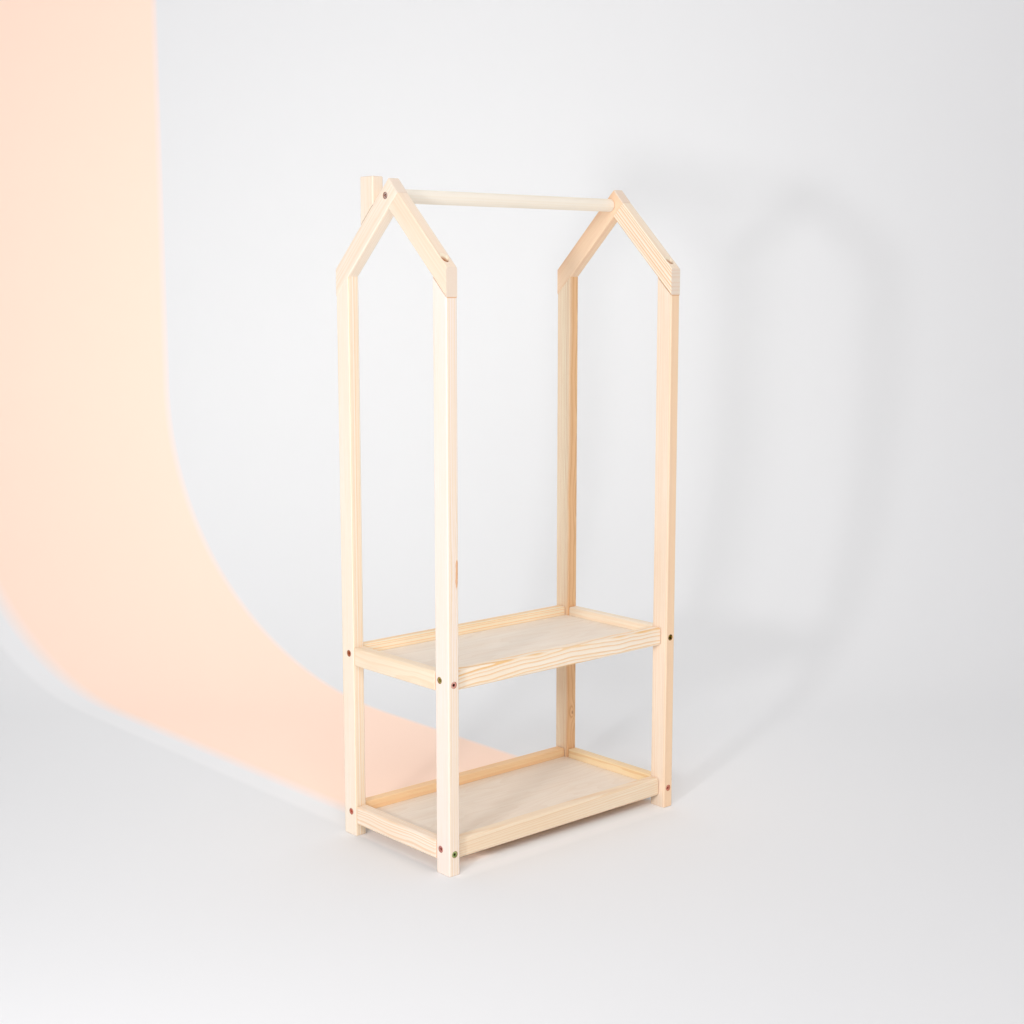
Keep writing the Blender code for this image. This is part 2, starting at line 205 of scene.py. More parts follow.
# Films on the zinc: (most of it, the rest, share of painted shade in the socket)
FILMS = {
    "olive": (linear(150, 138, 76), linear(206, 184, 112), 0.2),
    "pink": (linear(222, 138, 128), linear(240, 196, 180), 1.0),
    "rose": (linear(206, 126, 130), linear(226, 164, 146), 0.3),
    "green": (linear(128, 160, 92), linear(186, 194, 134), 0.9),
    "black": (linear(36, 28, 18), linear(176, 142, 46), 0.6),
    "red": (linear(206, 112, 100), linear(222, 152, 128), 0.2),
    "rust": (linear(178, 94, 62), linear(206, 130, 92), 0.3),
    "plum": (linear(156, 92, 68), linear(222, 204, 194), 0.2),
    "gold": (linear(216, 184, 104), linear(226, 196, 138), 0.5),
}
SOCKET_SHADE = linear(84, 72, 62)
SCREW_FILMS = {
    "screw_upper_back_rail_left": "rust",
    "screw_lower_back_rail_left": "red",
    "screw_upper_front_rail_left": "olive",
    "screw_lower_front_rail_left": "rose",
    "screw_upper_left_rail_front": "pink",
    "screw_lower_left_rail_front": "green",
    "screw_upper_right_rail_front": "black",
    "screw_lower_right_rail_front": "red",
    "screw_rod_left": "plum",
}
FILM_ORDER = ("gold", "olive", "rose", "gold", "green", "red", "pink")      # the other screws


# Node helpers

def add(tree, kind, values=None, **settings):
    """Shader node with its settings, and a value or a link for each input."""
    node = tree.nodes.new("ShaderNode" + kind)
    for name, value in settings.items():
        setattr(node, name, value)
    for socket, value in (values or {}).items():
        if isinstance(value, bpy.types.NodeSocket):
            tree.links.new(value, node.inputs[socket])
        else:
            node.inputs[socket].default_value = value
    return node


def sums(tree, operation, *values):
    """Number worked out from numbers."""
    return add(tree, "Math", dict(enumerate(values)), operation=operation).outputs[0]


def vectors(tree, operation, *values):
    """Vector worked out from vectors."""
    return add(tree, "VectorMath", dict(enumerate(values)), operation=operation).outputs[0]


def measured(tree, operation, *values):
    """Number worked out from vectors."""
    return add(tree, "VectorMath", dict(enumerate(values)), operation=operation).outputs[1]


def scaled(tree, vector, share):
    return add(tree, "VectorMath", {0: vector, 3: share}, operation='SCALE').outputs[0]


def from_axis(tree, vector):
    """How far a place is from the Z axis."""
    return measured(tree, 'LENGTH', vectors(tree, 'MULTIPLY', vector, (1, 1, 0)))


def blend(tree, share, first, second, kind='MIX'):
    node = add(tree, "Mix", {0: share, 6: first, 7: second}, data_type='RGBA', blend_type=kind)
    return node.outputs[2]


def ramp(tree, value, stops):
    """Level along straight lines through (position, level) pairs."""
    node = add(tree, "ValToRGB", {0: value})
    elements = node.color_ramp.elements
    while len(elements) < len(stops):
        elements.new(0.5)
    for element, (position, level) in zip(elements, stops):
        element.position = position
        element.color = (level, level, level, 1)
    return node.outputs[0]


def band(tree, value, start, span, stops):
    """Level along a distance, through (share of the span from its start, level) pairs."""
    return ramp(tree, sums(tree, 'MULTIPLY_ADD', value, 1 / span, -start / span), stops)


def stretched_noise(tree, vector, stretch, shift, detail=2.0, roughness=0.5):
    """Noise with its own scale along each axis, as a level and as a colour."""
    moved = vectors(tree, 'ADD', vectors(tree, 'MULTIPLY', vector, stretch), shift)
    noise = add(tree, "TexNoise", {"Vector": moved, "Scale": 1.0, "Detail": detail,
                                   "Roughness": roughness})
    return noise.outputs["Fac"], noise.outputs["Color"]


# Effects that several materials share

def effect(name, inputs, outputs):
    """Node group with named sockets; returns it with its inner inputs and outputs."""
    tree = bpy.data.node_groups.new(name, "ShaderNodeTree")
    for label, kind, default in inputs:
        socket = tree.interface.new_socket(label, in_out='INPUT', socket_type="NodeSocket" + kind)
        socket.default_value = default
    for label in outputs:
        tree.interface.new_socket(label, in_out='OUTPUT', socket_type="NodeSocketFloat")
    return tree, tree.nodes.new("NodeGroupInput").outputs, tree.nodes.new("NodeGroupOutput").inputs


def growth_rings():
    """Rings round a pith that lies outside the bar, cut by the bar's faces."""
    tree, given, made = effect("Growth rings", [
        ("Vector", "Vector", (0, 0, 0)),
        ("Pith", "Vector", (0, 0.06, 0)),
        ("Lean", "Vector", (0, 0, 0)),
        ("Bow", "Vector", (0, 0, 0)),
        ("Ring Width", "Float", 0.003),
        ("Wave", "Float", 0.002),
        ("Wave Rate", "Float", 6.0),
        ("Bend", "Float", 0.0),
        ("Seed", "Float", 0.0),
        ("Heart Radius", "Float", 0.0),
    ], ["Latewood", "Heartwood"])
    seed = add(tree, "CombineXYZ", {axis: given["Seed"] for axis in range(3)}).outputs[0]
    length = add(tree, "SeparateXYZ", {0: given["Vector"]}).outputs[2]
    rate = add(tree, "CombineXYZ", {0: 9.0, 1: 9.0, 2: given["Wave Rate"]}).outputs[0]
    wander = stretched_noise(tree, given["Vector"], rate, seed, 2.0, 0.45)[1]
    waves = scaled(tree, vectors(tree, 'ADD', wander, (-0.5, -0.5, -0.5)), given["Wave"])
    drift = scaled(tree, given["Lean"], length)
    sweep = scaled(tree, given["Bow"], sums(tree, 'MULTIPLY', length, length))
    pith = vectors(tree, 'ADD', given["Pith"], vectors(tree, 'ADD', drift, sweep))
    pith = vectors(tree, 'ADD', pith, waves)
    radius = from_axis(tree, vectors(tree, 'SUBTRACT', given["Vector"], pith))
    ring = sums(tree, 'DIVIDE', radius, given["Ring Width"])
    years = sums(tree, 'ADD', sums(tree, 'MULTIPLY', ring, 0.4), given["Seed"])
    uneven = add(tree, "TexNoise", {"W": years, "Scale": 1.0, "Detail": 1.0},
                 noise_dimensions='1D').outputs["Fac"]
    ring = sums(tree, 'MULTIPLY_ADD', uneven, 1.5, ring)
    ragged = stretched_noise(tree, given["Vector"], (240, 240, 14), seed)[0]
    ring = sums(tree, 'MULTIPLY_ADD', ragged, 0.22, ring)
    ring = sums(tree, 'ADD', ring, given["Bend"])
    luck = add(tree, "TexWhiteNoise",
               {"W": sums(tree, 'ADD', sums(tree, 'FLOOR', ring), given["Seed"])},
               noise_dimensions='1D').outputs["Value"]
    strength = sums(tree, 'MULTIPLY_ADD', luck, 0.4, 0.6)
    shade = ramp(tree, sums(tree, 'FRACT', ring),
                 [(0.0, 0.35), (0.07, 0.0), (0.42, 0.03), (0.64, 0.35), (0.80, 1.0), (0.97, 0.95)])
    tree.links.new(sums(tree, 'MULTIPLY', shade, strength), made["Latewood"])
    depth = sums(tree, 'SUBTRACT', given["Heart Radius"], radius)
    depth = sums(tree, 'MULTIPLY_ADD', sums(tree, 'SUBTRACT', ragged, 0.5), 0.003, depth)
    heart = sums(tree, 'MULTIPLY_ADD', depth, 150.0, 0.5)
    tree.links.new(ramp(tree, heart, [(0.0, 0.0), (1.0, 1.0)]), made["Heartwood"])
    return tree


def fibres():
    """Fine streaks, short dark flecks and broad patches along the bar."""
    tree, given, made = effect("Wood fibres", [
        ("Vector", "Vector", (0, 0, 0)),
        ("Seed", "Float", 0.0),
    ], ["Streaks", "Flecks", "Patches"])
    seed = add(tree, "CombineXYZ", {0: given["Seed"], 1: 3.7, 2: given["Seed"]}).outputs[0]
    streaks = stretched_noise(tree, given["Vector"], (700, 700, 9), seed, 3.0, 0.6)[0]
    dashes = stretched_noise(tree, given["Vector"], (1500, 1500, 55), seed, 1.0)[0]
    patches = stretched_noise(tree, given["Vector"], (26, 26, 3.2), seed)[0]
    tree.links.new(streaks, made["Streaks"])
    tree.links.new(ramp(tree, dashes, [(0.66, 0.0), (0.76, 1.0)]), made["Flecks"])
    tree.links.new(ramp(tree, patches, [(0.3, 0.0), (0.7, 1.0)]), made["Patches"])
    return tree


def branch_knot():
    """A small knot: its dark core, and how far the rings bow round it."""
    tree, given, made = effect("Branch knot", [
        ("Vector", "Vector", (0, 0, 0)),
        ("Place", "Vector", (0, 0, 0)),
        ("Squash", "Vector", (0, 1, 0.5)),
        ("Radius", "Float", 0.004),
    ], ["Core", "Bend"])
    away = vectors(tree, 'SUBTRACT', given["Vector"], given["Place"])
    distance = measured(tree, 'LENGTH', vectors(tree, 'MULTIPLY', away, given["Squash"]))
    ragged = stretched_noise(tree, given["Vector"], (160, 160, 90), (5, 1, 2))[0]
    share = sums(tree, 'DIVIDE', distance, given["Radius"])
    share = sums(tree, 'MULTIPLY_ADD', sums(tree, 'SUBTRACT', ragged, 0.5), 1.2, share)
    core = ramp(tree, share, [(0.0, 1.0), (0.55, 0.85), (0.8, 1.0), (1.0, 0.0)])
    square = sums(tree, 'MULTIPLY', share, share)
    bow = sums(tree, 'EXPONENT', sums(tree, 'MULTIPLY', square, -0.09))
    tree.links.new(core, made["Core"])
    tree.links.new(sums(tree, 'MULTIPLY', bow, 1.5), made["Bend"])
    return tree


RINGS = growth_rings()
FIBRES = fibres()
KNOT = branch_knot()


# Materials

def new_material(name):
    material = bpy.data.materials.new(name)
    material.use_nodes = True
    tree = material.node_tree
    return material, tree, tree.nodes["Principled BSDF"]


def surface(tree, shader, colour, roughness, relief, strength, depth, shine=0.5):
    """Gives a shader its colour, its roughness, a fine relief and its shine."""
    tree.links.new(colour, shader.inputs["Base Color"])
    tree.links.new(roughness, shader.inputs["Roughness"])
    bump = add(tree, "Bump", {"Strength": strength, "Distance": depth, "Height": relief})
    tree.links.new(bump.outputs[0], shader.inputs["Normal"])
    shader.inputs["Specular IOR Level"].default_value = shine


def own_axes(tree, place, turn):
    """A piece's own coordinates: Z along its length, X through it, Y across it."""
    where = add(tree, "TexCoord").outputs["Object"]
    return add(tree, "Mapping", {"Vector": where, "Location": place, "Rotation": turn},
               vector_type='TEXTURE').outputs[0]


def end_grain(tree, turn):
    """Share of end grain in the face, from how squarely it cuts the fibres."""
    facing = add(tree, "NewGeometry").outputs["Normal"]
    length = Matrix.Rotation(turn[0], 3, 'X') @ Matrix.Rotation(turn[1], 3, 'Y') @ Vector((0, 0, 1))
    square = measured(tree, 'DOT_PRODUCT', facing, length)
    return ramp(tree, sums(tree, 'ABSOLUTE', square), [(0.45, 0.0), (0.68, 1.0)])


def drilled_and_shaded(tree, bore, colour):
    """Fresh-cut wood on the wall of a plumb bore, with painted shade that turns it browner further
    in.
    """
    where = add(tree, "TexCoord").outputs["Object"]
    (x, y), outward, height = bore
    distance = from_axis(tree, vectors(tree, 'SUBTRACT', where, (x, y, 0)))
    level = measured(tree, 'DOT_PRODUCT', where, outward)
    depth = band(tree, sums(tree, 'SUBTRACT', height, level), *BORE_SHADE_DEPTHS)
    wall = blend(tree, depth, BORE_RIM, BORE_BROWN_AND_SHADE)
    return blend(tree, sums(tree, 'LESS_THAN', distance, BORE_REACH), colour, wall)


def crushed_and_shaded(tree, heads, colour):
    """Thin dark ring round each countersunk head: crushed fibres, with painted shade in the gap
    round the head.
    """
    where = add(tree, "TexCoord").outputs["Object"]
    share = 0.0
    for head, way in heads:
        away = vectors(tree, 'SUBTRACT', where, head)
        along = vectors(tree, 'PROJECT', away, way)
        distance = measured(tree, 'LENGTH', vectors(tree, 'SUBTRACT', away, along))
        depth = measured(tree, 'LENGTH', along)
        ring = band(tree, distance, *PRESSED_SHADE_RING)
        ring = sums(tree, 'MULTIPLY', ring, sums(tree, 'LESS_THAN', depth, PRESSED_SHADE_DEPTH))
        share = sums(tree, 'MAXIMUM', ring, share)
    return blend(tree, share, colour, PRESSED_AND_SHADE_TONE)


def pine(name, place, turn, tone, pith, ring_width, contrast, seed, wave=0.002, wave_rate=6.0,
         lean=(0, 0, 0), bow=(0, 0, 0), knots=(), knot_tone=KNOT_BROWN, heart=None, bore=None,
         heads=(), cut_at=None, foot=None):
    """Planed bar with its own rings and knots, the marks of its cuts and screws, and painted shade
    at its joints, in its bores and round its screw heads.
    """
    material, tree, shader = new_material(name)
    grain = own_axes(tree, place, turn)
    clear, deep, late = tone
    marks = add(tree, "Group", {"Vector": grain, "Seed": seed}, node_tree=FIBRES).outputs
    bend = 0.0
    core = 0.0
    for knot_place, squash, radius in knots:
        knot = add(tree, "Group", {"Vector": grain, "Place": knot_place, "Squash": squash,
                                   "Radius": radius}, node_tree=KNOT).outputs
        bend = sums(tree, 'ADD', knot["Bend"], bend)
        core = sums(tree, 'MAXIMUM', knot["Core"], core)
    rings = add(tree, "Group", {"Vector": grain, "Pith": (*pith, 0), "Lean": lean, "Bow": bow,
                                "Ring Width": ring_width, "Wave": wave, "Wave Rate": wave_rate,
                                "Bend": bend, "Seed": seed}, node_tree=RINGS)
    latewood = rings.outputs["Latewood"]
    colour = blend(tree, marks["Patches"], clear, deep)
    if heart:
        heart_radius, heart_tone = heart
        rings.inputs["Heart Radius"].default_value = heart_radius
        colour = blend(tree, rings.outputs["Heartwood"], colour, heart_tone)
    for share in (sums(tree, 'MULTIPLY', latewood, contrast),
                  sums(tree, 'MULTIPLY_ADD', marks["Streaks"], 0.5, -0.12),
                  sums(tree, 'MULTIPLY', marks["Flecks"], 0.25)):
        colour = blend(tree, share, colour, late)
    ends = end_grain(tree, turn)
    colour = blend(tree, ends, colour, blend(tree, 0.78, colour, END_GRAIN))
    if bore:
        colour = drilled_and_shaded(tree, bore, colour)
    if heads:
        colour = crushed_and_shaded(tree, heads, colour)
    if knots:
        colour = blend(tree, sums(tree, 'MULTIPLY', core, 0.8), colour, knot_tone)
    # Painted shade at the joint where the rail's end meets a post
    if cut_at:
        reach = sums(tree, 'ABSOLUTE', add(tree, "SeparateXYZ", {0: grain}).outputs[2])
        rim = band(tree, reach, cut_at - JOINT_SHADE_RIM, JOINT_SHADE_RIM, [(0.2, 0.0), (0.6, 0.6)])
        colour = blend(tree, rim, colour, JOINT_SHADE)
    # Painted shade along the rafter's foot
    if foot:
        height = add(tree, "SeparateXYZ", {0: add(tree, "TexCoord").outputs["Object"]}).outputs[2]
        rim = band(tree, height, foot, FOOT_JOINT_SHADE_RIM, [(0.3, 0.8), (0.9, 0.0)])
        colour = blend(tree, rim, colour, JOINT_SHADE)
    roughness = sums(tree, 'MULTIPLY_ADD', marks["Streaks"], 0.16, 0.46)
    roughness = sums(tree, 'MULTIPLY_ADD', latewood, -0.06, roughness)
    roughness = sums(tree, 'MULTIPLY_ADD', ends, 0.12, roughness)
    relief = sums(tree, 'MULTIPLY_ADD', latewood, 0.5, marks["Streaks"])
    surface(tree, shader, colour, roughness, relief, 0.12, 0.0004, 0.35)
    return material


def turned_wood(name, place, turn, seed):
    """Smooth pale rod with straight faint fibres."""
    material, tree, shader = new_material(name)
    grain = own_axes(tree, place, turn)
    clear, deep, late = ROD
    marks = add(tree, "Group", {"Vector": grain, "Seed": seed}, node_tree=FIBRES).outputs
    rings = add(tree, "Group", {"Vector": grain, "Pith": (0.05, 0.03, 0), "Ring Width": 0.0036,
                                "Wave": 0.0015, "Wave Rate": 2.0, "Seed": seed}, node_tree=RINGS)
    colour = blend(tree, marks["Patches"], clear, deep)
    colour = blend(tree, sums(tree, 'MULTIPLY', rings.outputs["Latewood"], 0.16), colour, late)
    colour = blend(tree, sums(tree, 'MULTIPLY', marks["Streaks"], 0.14), colour, late)
    sawn = blend(tree, 1.0, colour, ROD_ENDS, 'MULTIPLY')
    colour = blend(tree, end_grain(tree, turn), colour, sawn)
    roughness = sums(tree, 'MULTIPLY_ADD', marks["Streaks"], 0.14, 0.40)
    surface(tree, shader, colour, roughness, marks["Streaks"], 0.08, 0.0003, 0.4)
    return material


def plywood(name, place, seed):
    """Thin board faced with peeled veneer, whose figure runs along the rack."""
    material, tree, shader = new_material(name)
    grain = own_axes(tree, place, ALONG_X)
    marks = add(tree, "Group", {"Vector": grain, "Seed": seed}, node_tree=FIBRES).outputs
    broad = stretched_noise(tree, grain, (20, 20, 3.0), (seed, seed, seed))[0]
    figure = sums(tree, 'FRACT', sums(tree, 'MULTIPLY', broad, 9.0))
    figure = ramp(tree, figure, [(0.0, 0.0), (0.45, 0.25), (0.9, 1.0), (0.96, 0.0)])
    stain = stretched_noise(tree, grain, (7, 7, 3.5), (seed, 4, 2), 3.0, 0.6)[0]
    stain = ramp(tree, stain, [(0.4, 0.0), (0.75, 1.0)])
    colour = blend(tree, marks["Patches"], VENEER_CLEAR, VENEER_DEEP)
    for mask, share, tone in ((figure, 0.20, VENEER_FIGURE), (stain, 0.36, VENEER_STAIN),
                              (marks["Streaks"], 0.28, VENEER_STREAKS),
                              (marks["Flecks"], 0.3, VENEER_FLECKS)):
        colour = blend(tree, sums(tree, 'MULTIPLY', mask, share), colour, tone)
    roughness = sums(tree, 'MULTIPLY_ADD', marks["Streaks"], 0.12, 0.50)
    surface(tree, shader, colour, roughness, marks["Streaks"], 0.08, 0.0003, 0.3)
    return material


def yellow_zinc(name, place, turn, seed, film):
    """Passivated zinc: its film turns from one colour to another, with painted shade in the socket.
    """
    material, tree, shader = new_material(name)
    main, second, socket_shade_share = film
    where = add(tree, "TexCoord").outputs["Object"]
    clouds = stretched_noise(tree, where, (420, 420, 420), (seed, seed, seed), 3.0, 0.6)[0]
    colour = blend(tree, ramp(tree, clouds, [(0.38, 0.0), (0.62, 1.0)]), main, second)
    # Painted shade in the socket
    reach = sums(tree, 'DIVIDE', from_axis(tree, own_axes(tree, place, turn)), HEAD_RADIUS)
    inner = ramp(tree, reach, [(0.40, 1.0), (0.52, 0.0)])
    colour = blend(tree, inner, colour, blend(tree, socket_shade_share, colour, SOCKET_SHADE, 'MULTIPLY'))
    scuffs = stretched_noise(tree, where, (1400, 1400, 1400), (seed, 1, 1), 3.0)[0]
    roughness = sums(tree, 'MULTIPLY_ADD', scuffs, 0.25, 0.25)
    surface(tree, shader, colour, roughness, scuffs, 0.1, 0.0001)
    shader.inputs["Metallic"].default_value = 1.0
    return material


def painted_light_under_tray(tree, where, tint):
    """Painted light on the paper under the low tray, lifting the tray's shadow: paler along its
    edges, and a painted warm glow further in and on behind.
    """
    place = add(tree, "SeparateXYZ", {0: where}).outputs
    x = place[0]
    y = place[1]
    within_length = band(tree, sums(tree, 'ABSOLUTE', x), *WITHIN_LENGTH)
    within_depth = band(tree, sums(tree, 'ABSOLUTE', y), *WITHIN_DEPTH)
    past_left = sums(tree, 'MULTIPLY', within_length, band(tree, x, *PAST_LEFT_STRIP))
    gain = (1.0, 1.0, 1.0)
    for along, strip, limit, change in ((x, LEFT_STRIP, within_depth, LEFT_PAINTED_LIGHT),
                                        (y, FRONT_STRIP, within_length, FRONT_PAINTED_LIGHT),
                                        (y, DEEP_STRIP, past_left, DEEP_PAINTED_WARM_LIGHT)):
        share = sums(tree, 'MULTIPLY', band(tree, along, *strip), limit)
        gain = vectors(tree, 'ADD', scaled(tree, change, share), gain)
    return vectors(tree, 'MULTIPLY', tint, gain)


def studio_paper():
    """Matt paper with a painted pool of light, palest behind the rack, that the camera sees through
    from its back.
    """
    material, tree, shader = new_material("Pale studio paper")
    where = add(tree, "TexCoord").outputs["Object"]
    tooth = stretched_noise(tree, where, (300, 300, 300), (0, 0, 0))[0]
    sheet = add(tree, "Mapping", {"Vector": where, "Location": PAPER_PAINTED_LIGHT_SPOT,
                                  "Rotation": (0, 0, -YAW), "Scale": PAPER_PAINTED_LIGHT_STRETCH},
                vector_type='TEXTURE').outputs[0]
    # Painted pool of light, fading away from its spot
    spread = measured(tree, 'DOT_PRODUCT', sheet, sheet)
    painted_lit_share = sums(tree, 'EXPONENT', sums(tree, 'DIVIDE', spread, -PAPER_PAINTED_LIGHT_FALLOFF))
    painted_lit_share = sums(tree, 'MULTIPLY_ADD', tooth, 0.02, painted_lit_share)
    # Painted light under the low tray, seen by the camera only
    tint = painted_light_under_tray(tree, where, blend(tree, painted_lit_share, PAPER_PAINTED_DIM, PAPER_PAINTED_LIT))
    seen = add(tree, "LightPath").outputs["Is Camera Ray"]
    tree.links.new(blend(tree, seen, PAPER_BOUNCE, tint), shader.inputs["Base Color"])
    shader.inputs["Roughness"].default_value = 0.9
    shader.inputs["Specular IOR Level"].default_value = 0.1
    back = add(tree, "NewGeometry").outputs["Backfacing"]
    clear = add(tree, "BsdfTransparent").outputs[0]
    hide = sums(tree, 'MULTIPLY', seen, back)
    shown = add(tree, "MixShader", {0: hide, 1: shader.outputs[0], 2: clear}).outputs[0]
    tree.links.new(shown, tree.nodes["Material Output"].inputs["Surface"])
    return material


# Objects

def smooth_mesh(name, bm, material):
    """Mesh of a finished piece, shaded smooth, in one material."""
    mesh = bpy.data.meshes.new(name)
    bm.to_mesh(mesh)
    bm.free()
    mesh.shade_smooth()
    mesh.materials.append(material)
    return mesh


def placed(name, data):
    """Object for a mesh, a lamp or a camera, in the scene."""
    item = bpy.data.objects.new(name, data)
    bpy.context.collection.objects.link(item)
    return item


def axis_spot(node):
    """Where a plumb screw's axis stands, seen from above."""
    low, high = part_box(node)
    return (low.x + high.x) / 2, (low.y + high.y) / 2


def middle(node):
    low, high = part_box(node)
    return tuple((low + high) / 2)


def outward(way):
    """Direction straight out of a roof slope, front (-1) or back (1)."""
    return Vector((0, way * math.sin(ROOF_PITCH), math.cos(ROOF_PITCH)))


def head_faces(node):
    """Way that a screw's head looks, from its name."""
    words = node.split("_")
    if "eave" in words:
        return Vector((0, 0, 1))
    if "apex" in words:
        return outward(1)
    ways = {"left": (-1, 0, 0), "right": (1, 0, 0), "front": (0, -1, 0), "back": (0, 1, 0)}
    return Vector(ways[words[-1]])


def head_spot(node):
    """Middle of a screw's head."""
    way = head_faces(node)
    corners = [vert.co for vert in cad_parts[node].data.vertices]
    high = max(corner.dot(way) for corner in corners)
    rim = {tuple(round(v, 5) for v in c) for c in corners if c.dot(way) > high - MERGE_DISTANCE}
    return sum((Vector(corner) for corner in rim), Vector()) / len(rim)


def heads_of(*screws):
    return [(head_spot(screw), head_faces(screw)) for screw in screws]


# Pieces of wood, dressed from the frame's solids

def dress(node, material):
    """Merged copy of a solid with smooth rounded edges, in place of it."""
    bm = bmesh.new()
    bm.from_mesh(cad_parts[node].data)
    bmesh.ops.remove_doubles(bm, verts=bm.verts, dist=MERGE_DISTANCE)
    bmesh.ops.dissolve_limit(bm, angle_limit=FLAT_ANGLE, verts=bm.verts, edges=bm.edges)
    if node in SEATS:
        low, high, lift = SEATS[node]
        seat = [vert for vert in bm.verts if low < vert.co.z < high]
        bmesh.ops.translate(bm, verts=seat, vec=(0, 0, lift))
    mesh = smooth_mesh(node + "_wood", bm, material)
    mesh.set_sharp_from_angle(angle=SHARP_ANGLE)
    piece = placed(node + "_wood", mesh)
    level = piece.modifiers.new("Flat faces stay flat", 'WEIGHTED_NORMAL')
    level.keep_sharp = True
    level.weight = 100
    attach(piece, BODY)
    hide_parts(node)


# Look of each bar. The pith, the lean, the bow and the knots (place, squash, radius) are in
# the bar's own coordinates, and the heart is (radius, tone).
TIMBER = {
    "post_front_left": dict(turn=UPRIGHT, tone=FAINT, pith=(0.1418, 0.0), ring_width=0.0036,
                            contrast=0.65, wave=0.0012, wave_rate=5.0, seed=1.3,
                            knots=[((0.0065, -0.0165, 0.016), (1, 0.2, 0.11), 0.0026)],
                            knot_tone=linear(222, 152, 84)),
    "post_back_left": dict(turn=UPRIGHT, tone=PALE, pith=(0.140, 0.0), ring_width=0.0030,
                           contrast=0.9, wave=0.001, wave_rate=2.5, seed=7.1),
    "post_front_right": dict(turn=UPRIGHT, tone=PINKISH, pith=(0.010, -0.080), ring_width=0.0030,
                             contrast=0.35, wave=0.002, wave_rate=2.0, seed=12.9,
                             heart=(0.068, linear(252, 218, 184))),
    "post_back_right": dict(turn=UPRIGHT, tone=RUDDY, pith=(0.012, -0.050), ring_width=0.0022,
                            contrast=0.62, wave=0.006, wave_rate=9.0, lean=(0.01, 0, 0), seed=19.4,
                            knots=[((0.001, -0.0165, -0.343), (1, 0.2, 0.4), 0.0016)],
                            heart=(0.042, linear(246, 202, 154))),
    "rafter_front_left": dict(turn=SLOPE_FRONT, tone=PINKISH, pith=(0.060, 0.010),
                              ring_width=0.0024, contrast=0.18, seed=23.7),
    "rafter_back_left": dict(turn=SLOPE_BACK, tone=CREAM, pith=(0.060, -0.020),
                             ring_width=0.0028, contrast=0.3, seed=31.2),
    "rafter_front_right": dict(turn=SLOPE_FRONT, tone=STRIPED, pith=(0.002, 0.1116),
                               ring_width=0.0048, contrast=0.95, wave=0.0006, seed=37.8),
    "rafter_back_right": dict(turn=SLOPE_BACK, tone=TAN, pith=(0.075, 0.004),
                              ring_width=0.0030, contrast=0.35, seed=43.5),
    "chimney": dict(turn=UPRIGHT, tone=CREAM, pith=(0.055, 0.020), ring_width=0.0026,
                    contrast=0.14, seed=47.0),
    "upper_front_rail": dict(turn=ALONG_X, tone=BOLD, pith=(0.046, 0.022), ring_width=0.0056,
                             contrast=1.0, wave=0.013, wave_rate=8.0, lean=(-0.013, 0, 0),
                             bow=(0.15, 0, 0), seed=53.6),
    "upper_back_rail": dict(turn=ALONG_X, tone=AMBER, pith=(0.060, 0.008), ring_width=0.0040,
                            contrast=0.9, wave=0.002, wave_rate=4.0, seed=59.1),
    "upper_left_rail": dict(turn=ALONG_Y, tone=STRAW, pith=(0.055, 0.010), ring_width=0.0026,
                            contrast=0.25, wave=0.004, wave_rate=8.0, seed=61.9),
    "upper_right_rail": dict(turn=ALONG_Y, tone=HONEY, pith=(0.060, 0.012), ring_width=0.0030,
                             contrast=0.35, seed=67.3),
    "lower_front_rail": dict(turn=ALONG_X, tone=STRAW, pith=(0.060, 0.012), ring_width=0.0038,
                             contrast=0.4, wave=0.003, wave_rate=4.0, lean=(-0.02, 0, 0),
                             seed=71.4),
    "lower_back_rail": dict(turn=ALONG_X, tone=ORANGE, pith=(0.020, 0.060), ring_width=0.0034,
                            contrast=0.25, wave=0.002, wave_rate=4.0, seed=73.8),
    "lower_left_rail": dict(turn=ALONG_Y, tone=BANDED, pith=(0.050, 0.030), ring_width=0.0028,
                            contrast=0.65, wave=0.006, wave_rate=8.0, seed=79.2),
    "lower_right_rail": dict(turn=ALONG_Y, tone=GOLD, pith=(0.050, -0.014), ring_width=0.0032,
                             contrast=0.6, seed=83.5),
}
for end in ("left", "right"):
    for side, way in (("front", -1), ("back", 1)):
        rafter = f"rafter_{side}_{end}"
        slope = outward(way)
        height = max(vert.co.dot(slope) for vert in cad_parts[rafter].data.vertices)
        TIMBER[rafter]["bore"] = (axis_spot(f"screw_eave_{side}_{end}"), slope, height)
        TIMBER[rafter]["foot"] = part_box(rafter)[0].z
        screws = [f"screw_{level}_{side}_rail_{end}" for level in ("upper", "lower")]
        screws += [f"screw_{level}_{end}_rail_{side}" for level in ("upper", "lower")]
        TIMBER[f"post_{side}_{end}"]["heads"] = heads_of(*screws)
    TIMBER[f"rafter_back_{end}"]["heads"] = heads_of(f"screw_rod_{end}")

for node, look in TIMBER.items():
    if node.endswith("rail"):
        low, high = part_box(node)
        look["cut_at"] = max((high - low).xy) / 2
    dress(node, pine("Pine " + node.replace("_", " "), middle(node), **look))
dress("hanging_rod", turned_wood("Turned hanging rod", middle("hanging_rod"), ALONG_X, 5.0))
dress("chimney_dowel", turned_wood("Turned dowel", middle("chimney_dowel"), SLOPE_BACK, 9.0))
for level, seed in (("upper", 11.0), ("lower", 29.0)):
    dress(level + "_panel", plywood(f"Plywood {level} panel", middle(level + "_panel"), seed))


# Screws, made again with threads and cut sockets

